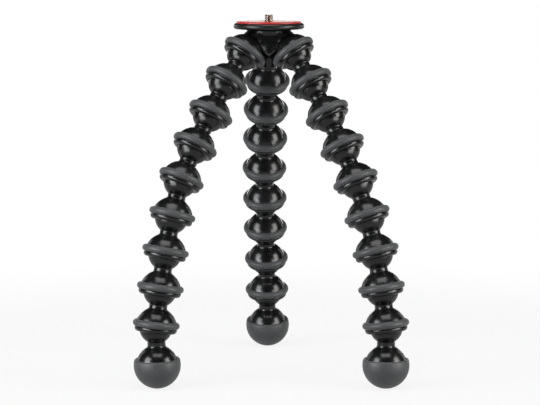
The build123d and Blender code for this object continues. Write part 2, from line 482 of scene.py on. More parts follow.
@dataclass(frozen=True)
class StudioPaper(Finish):
    """White floor paper, seen as white, with the object's shadow kept round its feet."""

    name: str = "studio_paper"
    colour: Colour = (0.62, 0.625, 0.63)
    own_white: float = 1.0
    mirrored_white: float = 0.62
    white_share: float = 0.86
    shadow_reach: float = 0.28
    plain_from: float = 0.62

    def fill(self, tree: FinishTree) -> Socket:
        """Adds the paper's nodes.

        Args:
            tree: The material's empty node tree.

        Returns:
            The shader's output.
        """
        paper = tree.node("ShaderNodeBsdfDiffuse", None, {"Color": (*self.colour, 1.0)})
        mirrored = tree.value("Is Glossy Ray", "ShaderNodeLightPath")
        strength = mirrored * (self.mirrored_white - self.own_white) + self.own_white
        white = tree.node("ShaderNodeEmission", None, {"Strength": strength})
        seen = tree.looked_at()
        length = {"operation": "LENGTH"}
        distance = tree.value("Value", "ShaderNodeVectorMath", length, {0: tree.place()})
        plain = tree.band(distance, self.shadow_reach, self.plain_from)
        share = plain * (1 - self.white_share) + self.white_share
        mixed = {0: seen * share, 1: paper.outputs[0], 2: white.outputs[0]}
        return tree.node("ShaderNodeMixShader", None, mixed).outputs[0]


class Outline:
    """A lathe section as radius and height pairs, drawn like a pen stroke."""

    def __init__(self, radius: float, height: float) -> None:
        """Sets the pen down at a distance from the axis and a height."""
        self.points: list[Point] = [(radius, height)]

    def to(self, *points: Point) -> None:
        """Draws straight to each point in turn.

        Args:
            points: The points. One that the pen already stands on is left out.
        """
        for point in points:
            if math.dist(point, self.points[-1]) > WELD:
                self.points.append(point)

    def arc(
        self, centre: Point, radius: float, start: float, end: float, step: float = 5.0
    ) -> None:
        """Draws an arc.

        Args:
            centre: The arc's centre.
            radius: Its radius.
            start: The angle that it starts at, in degrees from straight outwards.
            end: The angle that it ends at.
            step: The largest angle between two of its points, in degrees.
        """
        count = max(2, math.ceil(abs(end - start) / step))
        for index in range(count + 1):
            turn = math.radians(start + (end - start) * index / count)
            self.to((centre[0] + radius * math.cos(turn), centre[1] + radius * math.sin(turn)))

    def round(self, corner: Point, after: Point, radius: float, count: int = 4) -> None:
        """Draws to a corner and rounds it towards the point after it.

        Args:
            corner: The sharp corner.
            after: The point that the pen goes to next.
            radius: The rounding's radius.
            count: How many steps the rounding has.
        """
        tip = Vector(corner)
        before = (Vector(self.points[-1]) - tip).normalized()
        onward = (Vector(after) - tip).normalized()
        half = before.angle(onward) / 2
        centre = tip + (before + onward).normalized() * (radius / math.sin(half))
        reach = radius / math.tan(half)
        start, end = tip + before * reach - centre, tip + onward * reach - centre
        for index in range(count + 1):
            spoke = start.slerp(end, index / count)
            self.to(tuple(centre + spoke * radius))


@dataclass(frozen=True)
class RoundPair:
    """A circle round the axis blended into a straight neck by a hollow fillet."""

    height: float
    radius: float
    neck: float
    fillet: float
    side: int

    @property
    def centre(self) -> Point:
        """The fillet's centre, above the circle for side 1 and below it for side -1."""
        out = self.neck + self.fillet
        return out, self.height + self.side * math.sqrt((self.radius + self.fillet) ** 2 - out**2)

    @property
    def bearing(self) -> float:
        """The angle of the fillet's centre from the circle's centre, in degrees."""
        out, height = self.centre
        return math.degrees(math.atan2(height - self.height, out))


class Workshop:
    """Models pieces with Blender's own operators, and keeps the plain list of what it made."""

    def __init__(self) -> None:
        """Starts with nothing made."""
        self.made: list[str] = []

    @staticmethod
    def alone(piece: Optional[Piece]) -> None:
        """Selects one piece and nothing else.

        Args:
            piece: The piece, or None to select nothing at all.
        """
        bpy.ops.object.select_all(action="DESELECT")
        bpy.context.view_layer.objects.active = piece
        if piece is not None:
            piece.select_set(True)

    def turned(self, name: str, outline: Outline, steps: int = 96) -> Piece:
        """Turns an outline round the Z axis, as on a lathe.

        Args:
            name: The piece's name.
            outline: Its section. It either starts and ends on the axis or closes on itself.
            steps: How many steps there are in a full turn.

        Returns:
            The closed piece, round the origin.
        """
        self.alone(None)
        bpy.ops.mesh.primitive_plane_add(size=MILLIMETRE, location=(0, 0, 0))
        piece = bpy.context.active_object
        piece.name = piece.data.name = name
        bpy.ops.object.mode_set(mode="EDIT")
        bpy.ops.mesh.select_all(action="SELECT")
        bpy.ops.mesh.merge(type="CENTER")
        radius, height = outline.points[0]
        bpy.ops.transform.translate(value=(radius, 0, height))
        for (radius, height), (last_radius, last_height) in zip(outline.points[1:], outline.points):
            move = (radius - last_radius, 0, height - last_height)
            bpy.ops.mesh.extrude_region_move(TRANSFORM_OT_translate={"value": move})
        bpy.ops.mesh.select_all(action="SELECT")
        bpy.ops.mesh.spin(steps=steps, angle=FULL_TURN, center=(0, 0, 0), axis=(0, 0, 1))
        self._close()
        return piece

    @staticmethod
    def _close() -> None:
        """Merges the doubles of the mesh in edit mode and turns its faces outwards."""
        bpy.ops.mesh.select_all(action="SELECT")
        bpy.ops.mesh.remove_doubles(threshold=WELD)
        bpy.ops.mesh.dissolve_degenerate(threshold=WELD)
        bpy.ops.mesh.select_all(action="SELECT")
        bpy.ops.mesh.normals_make_consistent(inside=False)
        bpy.ops.object.mode_set(mode="OBJECT")

    def formed(
        self, name: str, around: int, along: int, shape: Callable[[float, float], Vector]
    ) -> Piece:
        """Bends a flat grid into a closed ring by a formula.

        Args:
            name: The piece's name.
            around: How many faces go round.
            along: How many faces follow the section.
            shape: Gives the place of a point from its two shares of the way, round and along.

        Returns:
            The closed piece.
        """
        self.alone(None)
        bpy.ops.mesh.primitive_grid_add(
            x_subdivisions=around, y_subdivisions=along, size=1, location=(0, 0, 0)
        )
        piece = bpy.context.active_object
        piece.name = piece.data.name = name
        for vertex in piece.data.vertices:
            vertex.co = shape(vertex.co.x + 0.5, vertex.co.y + 0.5)
        bpy.ops.object.mode_set(mode="EDIT")
        self._close()
        return piece

    def smoothed(self, piece: Piece, angle: float = 32.0) -> None:
        """Shades a piece smooth, apart from edges sharper than an angle."""
        self.alone(piece)
        bpy.ops.object.shade_smooth_by_angle(angle=math.radians(angle))

    def joined(self, name: str, pieces: Sequence[Piece]) -> Piece:
        """Joins pieces into one object.

        Args:
            name: The object's name.
            pieces: The pieces. The first one takes in the others.

        Returns:
            The object.
        """
        self.alone(pieces[0])
        for piece in pieces:
            piece.select_set(True)
        bpy.ops.object.join()
        pieces[0].name = pieces[0].data.name = name
        return pieces[0]

    @staticmethod
    def copied(pattern: Piece, name: str, place: Matrix) -> Piece:
        """Copies a pattern with its own mesh, and moves the mesh to its place.

        Args:
            pattern: The piece to copy, modelled round the origin.
            name: The copy's name.
            place: Where the copy stands.

        Returns:
            The copy.
        """
        piece = pattern.copy()
        piece.data = pattern.data.copy()
        piece.name = piece.data.name = name
        bpy.context.scene.collection.objects.link(piece)
        piece.data.transform(place)
        return piece

    @staticmethod
    def discard(pattern: Piece) -> None:
        """Removes a pattern once its copies stand."""
        bpy.data.objects.remove(pattern)

    def fit(self, piece: Piece, body: str, node: str, slot: Slot, material: Material) -> None:
        """Gives a piece its material and its body, and hides the CAD node that it replaces.

        Args:
            piece: The finished piece, in its place.
            body: The body that it moves with.
            node: The CAD node that it replaces.
            slot: Its material slot in the record. Not used.
            material: Its material.
        """
        piece.data.materials.clear()
        piece.data.materials.append(material)
        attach(piece, body)
        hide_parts(node)
        self.made.append(piece.name)
        LOG.info("%s on %s", piece.name, body)


@dataclass(frozen=True)
class Finishes:
    """The object's five materials."""

    gloss: Material
    satin: Material
    grip: Material
    pad: Material
    screw: Material


@dataclass(frozen=True)
class BallJoint:
    """The sizes that every ball, bell, ring and foot share, with heights from a seat's centre."""

    ball_radius: float = 0.01225
    seat_radius: float = 0.0123
    neck_radius: float = 0.0066
    ball_fillet: float = 0.0012
    bell_fillet: float = 0.0018
    bell_radius: float = 0.0153
    groove_radius: float = 0.01395
    grip_top: float = 0.0050
    grip_bottom: float = -0.0002
    lip_radius: float = 0.0156
    lip_edge: float = 0.0005
    lip_bottom: float = -0.0036
    lip_round: float = 0.0024
    mouth_bevel: float = 0.00035
    ring_round: float = 0.0026
    ring_proud: float = 0.00195
    ring_room: float = 0.00003
    ring_crease: float = 0.0005
    link_pitch: float = 0.0271

    def draw_ball(self, outline: Outline) -> None:
        """Draws a ball from its top, down to where its neck runs straight.

        Args:
            outline: The outline to draw on.
        """
        blend = RoundPair(0, self.ball_radius, self.neck_radius, self.ball_fillet, -1)
        outline.arc((0, 0), self.ball_radius, 90, blend.bearing)
        outline.arc(blend.centre, self.ball_fillet, 180 + blend.bearing, 180, FILLET_STEP)

    def draw_shoulder(self, outline: Outline, centre: float, radius: float, end: float) -> None:
        """Draws a neck's foot and the dome below it.

        Args:
            outline: The outline to draw on.
            centre: The height of the dome's centre.
            radius: The dome's radius.
            end: The angle at which the dome stops, in degrees.
        """
        blend = RoundPair(centre, radius, self.neck_radius, self.bell_fillet, 1)
        outline.arc(blend.centre, self.bell_fillet, 180, 180 + blend.bearing, FILLET_STEP)
        outline.arc((0, centre), radius, blend.bearing, end, DOME_STEP)

    @property
    def groove_bearing(self) -> float:
        """The angle at which the bell's dome meets the ring's groove, in degrees."""
        return math.degrees(math.asin(self.grip_top / self.bell_radius))

    def draw_bell_below_dome(self, outline: Outline, centre: float) -> None:
        """Draws the groove, the lip and the ball seat of a bell.

        Args:
            outline: The outline to draw on.
            centre: The height of the seat's centre.
        """
        floor = centre + self.grip_bottom
        lip_side = centre + self.lip_bottom + self.lip_round
        lip_foot = centre + self.lip_bottom
        mouth = math.sqrt(self.seat_radius**2 - (self.lip_bottom + self.mouth_bevel) ** 2)
        seat_bearing = math.degrees(math.acos(mouth / self.seat_radius))
        outline.to((self.groove_radius, centre + self.grip_top), (self.groove_radius, floor))
        outline.round((self.lip_radius, floor), (self.lip_radius, lip_side), self.lip_edge)
        outline.arc((self.lip_radius - self.lip_round, lip_side), self.lip_round, 0, -90, LIP_STEP)
        rim = (mouth + self.mouth_bevel, lip_foot)
        outline.round(rim, (mouth, lip_foot + self.mouth_bevel), self.mouth_bevel / 2)
        outline.to((mouth, lip_foot + self.mouth_bevel))
        outline.arc((0, centre), self.seat_radius, -seat_bearing, 90)

    def link_outline(self) -> Outline:
        """Draws a link: ball, neck and bell.

        Returns:
            The link's section, with the ball's centre at the origin.
        """
        outline = Outline(0, self.ball_radius)
        self.draw_ball(outline)
        self.draw_shoulder(outline, -self.link_pitch, self.bell_radius, self.groove_bearing)
        self.draw_bell_below_dome(outline, -self.link_pitch)
        return outline

    def bell_outline(self) -> Outline:
        """Draws one of the hub's bells.

        Returns:
            The bell's section, with its seat's centre at the origin.
        """
        outline = Outline(0, self.bell_radius)
        outline.arc((0, 0), self.bell_radius, 90, self.groove_bearing, DOME_STEP)
        self.draw_bell_below_dome(outline, 0)
        return outline

    def ring_outline(self) -> Outline:
        """Draws a grip ring.

        Returns:
            The ring's section, round the bell whose seat's centre is at the origin.
        """
        inner = self.groove_radius + self.ring_room
        core = self.bell_radius + self.ring_proud - self.ring_round
        middle = (self.grip_top + self.grip_bottom) / 2
        top = middle + self.ring_round
        outline = Outline(inner, self.grip_bottom)
        outline.arc((core, middle), self.ring_round, -90, 90, ROUND_STEP)
        outline.round((inner, top), (inner, middle), self.ring_crease)
        outline.to((inner, self.grip_bottom))
        return outline


@dataclass(frozen=True)
class Foot:
    """The sizes of a foot's dome and cap, with heights from the middle of the dome."""

    joint: BallJoint
    reach: float = 0.0281
    dome_radius: float = 0.0153
    cap_radius: float = 0.0173
    rim_height: float = 0.0047
    rim_round: float = 0.0012
    inner_round: float = 0.0004
    cap_room: float = 0.00003

    def core_outline(self) -> Outline:
        """Draws a foot's ball, neck and dome.

        Returns:
            The foot's section, with the ball's centre at the origin.
        """
        outline = Outline(0, self.joint.ball_radius)
        self.joint.draw_ball(outline)
        self.joint.draw_shoulder(outline, -self.reach, self.dome_radius, -90)
        return outline

    def cap_outline(self) -> Outline:
        """Draws a foot's rubber cap.

        Returns:
            The cap's section, with the centre of the foot's ball at the origin.
        """
        middle = -self.reach
        inner_radius = self.dome_radius + self.cap_room
        rim = middle + self.rim_height
        edge_out = self.cap_radius - self.rim_round
        edge_up = self.rim_height - self.rim_round
        edge_reach = math.sqrt(edge_out**2 - edge_up**2)
        outer_bearing = math.degrees(math.atan2(edge_up, edge_reach))
        inner_edge = math.sqrt(inner_radius**2 - self.rim_height**2)
        inner_bearing = math.degrees(math.asin((self.rim_height - self.inner_round) / inner_radius))
        inner_start = inner_radius * math.cos(math.radians(inner_bearing))
        outline = Outline(0, middle - self.cap_radius)
        outline.arc((0, middle), self.cap_radius, -90, outer_bearing, DOME_STEP)
        outline.arc((edge_reach, middle + edge_up), self.rim_round, outer_bearing, 90, RIM_STEP)
        lower = (inner_start, rim - self.inner_round)
        outline.round((inner_edge, rim), lower, self.inner_round / 2)
        outline.arc((0, middle), inner_radius, inner_bearing, -90)
        return outline


@dataclass(frozen=True)
class Standing:
    """A ball's centre and the way up its piece."""

    centre: Vector
    up: Vector

    def place(self, height: float = 0.0) -> Matrix:
        """Where a piece modelled round the origin stands, moved up its own axis by a height."""
        turn = UP.rotation_difference(self.up).to_matrix().to_4x4()
        return Matrix.Translation(self.centre + self.up * height) @ turn


@dataclass(frozen=True)
class Skeleton:
    """The centres of all balls, read from the frame's joints."""

    foot: Foot
    links_per_leg: int = 8

    @property
    def balls(self) -> dict[str, Vector]:
        """The centre of the ball that each body turns on."""
        return {joint["child"]: Vector(joint["pos_m"]) for joint in frame["joints"]}

    def foot_middle(self, leg: Leg) -> Vector:
        """Finds the middle of a foot's round cap from the box of its CAD node.

        Args:
            leg: The foot's leg.

        Returns:
            The middle of the ball that the cap's outside is part of.
        """
        low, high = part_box(f"{leg.value}_foot_cap")
        middle = (low + high) / 2
        return Vector((middle.x, middle.y, low.z + self.foot.cap_radius))

    def chain(self, leg: Leg) -> list[Standing]:
        """Follows a leg from the hub down.

        Args:
            leg: The leg.

        Returns:
            How its links and, last, its foot stand.
        """
        balls = self.balls
        names = [f"{leg.value}_link_{number}" for number in range(1, self.links_per_leg + 1)]
        centres = [balls[name] for name in (*names, f"{leg.value}_foot")]
        centres.append(self.foot_middle(leg))
        return [Standing(top, (top - low).normalized()) for top, low in zip(centres, centres[1:])]


@dataclass(frozen=True)
class LegBuilder:
    """Models and places the links, grip rings and feet of all three legs."""

    shop: Workshop
    finishes: Finishes
    joint: BallJoint
    skeleton: Skeleton

    def build(self) -> None:
        """Models one link, ring and foot, and stands their copies along each leg."""
        foot = self.skeleton.foot
        link = self.shop.turned("link_pattern", self.joint.link_outline())
        ring = self.shop.turned("ring_pattern", self.joint.ring_outline())
        core = self.shop.turned("foot_core_pattern", foot.core_outline())
        cap = self.shop.turned("foot_cap_pattern", foot.cap_outline())
        for pattern in (link, ring, core, cap):
            self.shop.smoothed(pattern)
        for leg in Leg:
            chain = self.skeleton.chain(leg)
            for number, standing in enumerate(chain[:-1], start=1):
                body = f"{leg.value}_link_{number}"
                node = f"{leg.value}_grip_ring_{number}"
                seat = standing.place(-self.joint.link_pitch)
                self._stand(link, f"{body}_moulding", body, body, standing.place(), Slot.GLOSS)
                self._stand(ring, f"{node}_band", body, node, seat, Slot.GRIP)
            body, place = f"{leg.value}_foot", chain[-1].place()
            self._stand(core, f"{body}_moulding", body, f"{body}_core", place, Slot.GLOSS)
            self._stand(cap, f"{body}_boot", body, f"{body}_cap", place, Slot.GRIP)
        for pattern in (link, ring, core, cap):
            self.shop.discard(pattern)

    def _stand(
        self, pattern: Piece, name: str, body: str, node: str, place: Matrix, slot: Slot
    ) -> None:
        """Stands a copy of a pattern, of plastic or of grip rubber, for a CAD node."""
        finish = self.finishes.grip if slot is Slot.GRIP else self.finishes.gloss
        self.shop.fit(self.shop.copied(pattern, name, place), body, node, slot, finish)


def share_between(value: float, start: float, end: float) -> float:
    """How far a value has come from a start to an end, held between 0 and 1."""
    return min(max((value - start) / (end - start), 0.0), 1.0)


def eased(share: float) -> float:
    """Eases a share in and out."""
    return share * share * (3 - 2 * share)


def polar(radius: float, bearing: float, height: float = 0.0) -> Vector:
    """The point at a distance from the Z axis, a bearing from +X in radians, and a height."""
    return Vector((radius * math.cos(bearing), radius * math.sin(bearing), height))


@dataclass(frozen=True)
class HubSizes:
    """The hub's sizes, in metres and radians, with heights in the part's own frame."""

    splay: float = math.radians(38)
    column_radius: float = 0.0089
    column_top: float = -0.01705
    column_foot_radius: float = 0.0055
    column_bottom: float = -0.0350
    column_taper: float = 0.0060
    column_rounding: float = 0.0012
    crown_top: float = -0.0061
    crown_radius: float = 0.01668
    crown_edge: float = 0.0009
    panel_reach: float = 0.0157
    panel_radius: float = 0.0450
    corner_radius: float = 0.0196
    skirt_start: float = -0.0150
    skirt_out: float = 0.0021
    keel_start: float = -0.0120
    keel_full: float = -0.0200
    ridge_radius: float = 0.0166
    ridge_slope: float = math.tan(math.radians(25))
    ridge_round: float = 0.0018
    tip_height: float = -0.0250
    tip_round: float = 0.0009
    lip_out: float = 0.00045
    lip_rise: float = 0.0009
    skirt_over_seat: float = 0.0060
    seam_gap: float = 0.0001
    saddle_spread: float = math.radians(40)
    saddle_lift: float = 0.0025
    saddle_flare: float = 0.0046
    saddle_root: float = 0.0012
    flare_start: float = -0.0066
    flare_full: float = -0.0100
    bore_radius: float = 0.00405
    roof_bottom: float = -0.0110
    head_room_radius: float = 0.0075
    skirt_inner_radius: float = 0.00893
    pocket_bottom: float = -0.01702
    seam_rounding: float = 0.00045


@dataclass(frozen=True)
class HubBuilder:
    """Models the hub: three bells on a column, the crown over them and their grip rings."""

    shop: Workshop
    finishes: Finishes
    joint: BallJoint
    skeleton: Skeleton
    sizes: HubSizes = HubSizes()
    crown_around: int = 360
    crown_smooth_angle: float = 40.0
    top_rows: int = 7
    wall_rows: int = 28
    wall_crowding: float = 1.6
    rounding_rows: int = 4
    floor_rows: int = 5
    saddle_around: int = 48
    saddle_rows: int = 10
    saddle_back_rows: int = 3
    saddle_end: float = 0.001
    edge_tries: int = 24
    third: float = FULL_TURN / 3

    @cached_property
    def seats(self) -> list[Standing]:
        """Finds the hub's three bells from the balls that they hold.

        Returns:
            How the bells stand.
        """
        stands = []
        for leg in Leg:
            centre = self.skeleton.balls[f"{leg.value}_link_1"]
            out = Vector((centre.x, centre.y, 0)).normalized()
            up = UP * math.cos(self.sizes.splay) - out * math.sin(self.sizes.splay)
            stands.append(Standing(centre, up))
        return stands

    def build(self) -> None:
        """Models the hub's pieces in their places."""
        self._build_body()
        self._build_crown()
        self._build_rings()

    def _build_body(self) -> None:
        """Models the bells, the saddles over them and the column that they stand round."""
        size = self.sizes
        foot_top = size.column_bottom + size.column_rounding
        outline = Outline(0, size.column_bottom)
        foot = (size.column_foot_radius, size.column_bottom)
        outline.round(foot, (size.column_foot_radius, foot_top), size.column_rounding)
        taper_top = (size.column_radius, foot_top + size.column_taper)
        outline.round(taper_top, (size.column_radius, size.column_top), size.column_taper / 2)
        outline.to((size.column_radius, size.column_top), (0, size.column_top))
        bell = self.shop.turned("bell_pattern", self.joint.bell_outline())
        parts = [self.shop.turned("hub_column", outline)]
        for number, seat in enumerate(self.seats, start=1):
            parts.append(self.shop.copied(bell, f"hub_bell_{number}", seat.place()))
            parts.append(self._saddle(f"hub_saddle_{number}", seat))
        self.shop.discard(bell)
        body = self.shop.joined("hub_body_moulding", parts)
        self.shop.smoothed(body)
        self.shop.fit(body, "hub", "hub_body", Slot.GLOSS, self.finishes.gloss)

    def seam_height(self, radius: float, bearing: float) -> float:
        """The height at which a wall at a radius would end over the bells.

        Args:
            radius: The distance from the hub's axis.
            bearing: The direction from +X, in radians.

        Returns:
            The height of the crown's lower edge there.
        """
        size = self.sizes
        point = polar(radius, bearing).xy
        reach = self.joint.bell_radius + size.seam_gap
        aside = size.ridge_radius * math.sin(self.from_panel(bearing))
        heights = [size.tip_height + math.hypot(aside, size.tip_round) - size.tip_round]
        for seat in self.seats:
            flat = Vector((seat.centre.x, seat.centre.y))
            gap = (point - flat).length
            if gap < reach:
                heights.append(seat.centre.z + math.sqrt(reach**2 - gap**2))
            past = point.dot(flat.normalized()) - flat.length
            rise = size.skirt_over_seat + past * math.sin(size.splay)
            heights.append(seat.centre.z + rise / math.cos(size.splay))
        return max(heights)

    def from_panel(self, bearing: float) -> float:
        """How far a bearing is from the middle of the nearest panel, in radians."""
        return (bearing + self.third / 4) % self.third - self.third / 2

    def nearness(self, bearing: float) -> float:
        """How near a bearing is to the nearest bell's.

        Args:
            bearing: The direction from +X, in radians.

        Returns:
            1 at the bell's bearing, falling to 0 where its saddle ends and beyond.
        """
        from_bell = self.third / 2 - abs(self.from_panel(bearing))
        if from_bell >= self.sizes.saddle_spread:
            return 0.0
        return math.cos(from_bell / self.sizes.saddle_spread * math.pi / 2) ** 2

    def wall_radius(self, bearing: float, height: float) -> float:
        """The crown's outside: round on top, then three flat panels, each with a keel.

        Args:
            bearing: The direction from +X, in radians.
            height: The height.

        Returns:
            The distance of the wall from the hub's axis.
        """
        size = self.sizes
        skirt = share_between(height, size.skirt_start, size.tip_height)
        flare = eased(share_between(height, size.flare_start, size.flare_full))
        keel = eased(share_between(height, size.keel_start, size.keel_full))
        aside = self.from_panel(bearing)
        back = size.panel_radius - size.panel_reach
        panel = math.sqrt(size.panel_radius**2 - (back * math.sin(aside)) ** 2)
        panel = min(panel - back * math.cos(aside), size.corner_radius)
        curve = size.crown_radius + (panel - size.crown_radius) * flare + size.skirt_out * skirt
        blunt = size.ridge_round / size.ridge_radius
        top = 1 + size.ridge_slope * blunt
        fall = math.cos(aside) + size.ridge_slope * math.hypot(math.sin(aside), blunt)
        ridge = size.ridge_radius * top / fall + size.skirt_out * skirt
        return curve + (ridge - curve) * keel

    def edge(self, bearing: float) -> Point:
        """Finds the crown's lower outer edge, where the wall meets the seam.

        Args:
            bearing: The direction from +X, in radians.

        Returns:
            The edge's radius and height.
        """
        height = self.sizes.keel_start
        lift = self.nearness(bearing) * self.sizes.saddle_lift
        for _ in range(self.edge_tries):
            radius = self.wall_radius(bearing, height)
            height = (height + self.seam_height(radius, bearing) + lift) / 2
        return radius, height

    def _saddle(self, name: str, seat: Standing) -> Piece:
        """Models the hollow fillet that carries a bell's dome up to the crown's edge.

        Args:
            name: The fillet's name.
            seat: How its bell stands.

        Returns:
            The closed fillet, in its place.
        """
        size = self.sizes
        middle = math.atan2(seat.centre.y, seat.centre.x)
        curve_rows, back_rows = self.saddle_rows, self.saddle_back_rows

        def shape(round_share: float, along_share: float) -> Vector:
            """Finds one point of the saddle.

            Args:
                round_share: The share of the way along the crown's edge.
                along_share: The share of the way round the saddle's section.

            Returns:
                The point.
            """
            bearing = middle + (2 * round_share - 1) * size.saddle_spread
            within = self.saddle_end < round_share < 1 - self.saddle_end
            lift = self.nearness(bearing) if within else 0.0
            inner, top = self.edge(bearing)
            top -= size.seam_gap
            foot_radius = inner + size.saddle_flare * lift
            foot = self.seam_height(foot_radius, bearing) - size.seam_gap
            row = round(along_share * (curve_rows + back_rows))
            if row <= curve_rows:
                turn = math.pi / 2 * row / curve_rows
                share = row / curve_rows
                radius = inner + (foot_radius - inner) * (share + 1 - math.cos(turn)) / 2
                height = top + (foot - top) * (share + math.sin(turn)) / 2 if lift else top
            elif row < curve_rows + back_rows:
                back = (row - curve_rows) / (back_rows - 1)
                radius = foot_radius - (foot_radius - inner + size.saddle_root * lift) * back
                height = top + (foot - top) * (lift > 0) - size.saddle_root * lift
            else:
                radius, height = inner, top
            return polar(radius, bearing, height)

        return self.shop.formed(name, self.saddle_around, curve_rows + back_rows, shape)

    def _build_crown(self) -> None:
        """Models the crown as one section bent round the hub, with its edge along the bells."""
        size = self.sizes
        rounding = size.crown_edge
        middle = (size.crown_radius - rounding, size.crown_top - rounding)
        fixed = [(size.bore_radius, size.crown_top)]
        for index in range(self.top_rows):
            turn = math.pi / 2 * (1 - index / (self.top_rows - 1))
            out, up = rounding * math.cos(turn), rounding * math.sin(turn)
            fixed.append((middle[0] + out, middle[1] + up))
        inside = [
            (size.skirt_inner_radius, size.pocket_bottom),
            (size.head_room_radius, size.pocket_bottom),
            (size.head_room_radius, size.roof_bottom),
            (size.bore_radius, size.roof_bottom),
            (size.bore_radius, size.crown_top),
        ]
        wall_end = len(fixed) + self.wall_rows
        rounding_end = wall_end + self.rounding_rows
        floor_end = rounding_end + self.floor_rows
        rows = floor_end + len(inside)
        edges: dict[int, Point] = {}

        def shape(round_share: float, along_share: float) -> Vector:
            """Finds one point of the crown.

            Args:
                round_share: The share of the way round the hub.
                along_share: The share of the way along the crown's section.

            Returns:
                The point.
            """
            bearing = round_share * FULL_TURN
            step = round(round_share * self.crown_around)
            row = round(along_share * (rows - 1))
            if step not in edges:
                edges[step] = self.edge(bearing)
            edge_radius, edge_height = edges[step]
            start = fixed[-1][1]
            stop = edge_height + size.seam_rounding
            lip_out = share_between(start - stop, 0, 2 * size.lip_rise) * size.lip_out
            if row < len(fixed):
                radius, height = fixed[row]
            elif row < wall_end:
                share = 1 - (1 - (row - len(fixed) + 1) / self.wall_rows) ** self.wall_crowding
                height = start + (stop - start) * share
                lip = eased(share_between(height, stop + size.lip_rise, stop))
                radius = self.wall_radius(bearing, height) + lip * lip_out
            elif row < rounding_end:
                turn = math.pi / 2 * (row - wall_end + 1) / self.rounding_rows
                radius = edge_radius + lip_out - size.seam_rounding * (1 - math.cos(turn))
                height = edge_height + size.seam_rounding * (1 - math.sin(turn))
            elif row < floor_end:
                share = (row - rounding_end + 1) / self.floor_rows
                outer = edge_radius - size.seam_rounding
                radius = outer + (size.skirt_inner_radius - outer) * share
                height = self.seam_height(radius, bearing)
            else:
                radius, height = inside[row - floor_end]
            return polar(radius, bearing, height)

        crown = self.shop.formed("hub_crown_moulding", self.crown_around, rows - 1, shape)
        self.shop.smoothed(crown, self.crown_smooth_angle)
        self.shop.fit(crown, "hub", "hub_crown", Slot.GLOSS, self.finishes.gloss)

    def _build_rings(self) -> None:
        """Models the three grip rings on the hub's bells."""
        ring = self.shop.turned("hub_ring_pattern", self.joint.ring_outline())
        self.shop.smoothed(ring)
        bands = [
            self.shop.copied(ring, f"hub_ring_{number}", seat.place())
            for number, seat in enumerate(self.seats, start=1)
        ]
        self.shop.discard(ring)
        rings = self.shop.joined("hub_grip_ring_bands", bands)
        self.shop.fit(rings, "hub", "hub_grip_rings", Slot.GRIP, self.finishes.grip)


@dataclass(frozen=True)
class PlateSizes:
    """The sizes of the camera plate, its pad and its screw, in metres."""

    plate_radius: float = 0.0265
    plate_top: float = -0.0013
    plate_bottom: float = -0.0058
    bore_radius: float = 0.00403
    pad_radius: float = 0.0242
    pad_bottom: float = -0.0018
    pad_edge: float = 0.00035
    pad_hole_radius: float = 0.0044
    pad_room: float = 0.00003
    thread_radius: float = 0.003175
    thread_root: float = 0.00255
    thread_pitch: float = 0.00127
    thread_rows_per_pitch: int = 16
    screw_top: float = 0.0050
    tip_bevel: float = 0.0005
    shank_radius: float = 0.0040
    head_top: float = -0.01105
    head_bottom: float = -0.01505
    head_flats: float = 0.0111
    head_edge: float = 0.0004
    thread_crest_share: float = 0.26
    thread_root_share: float = 0.20
    head_sides: int = 6
    head_edge_steps: int = 3
    head_edge_angle: float = math.radians(35)
    plate_steps: int = 128
    thread_steps: int = 72
    shank_steps: int = 48


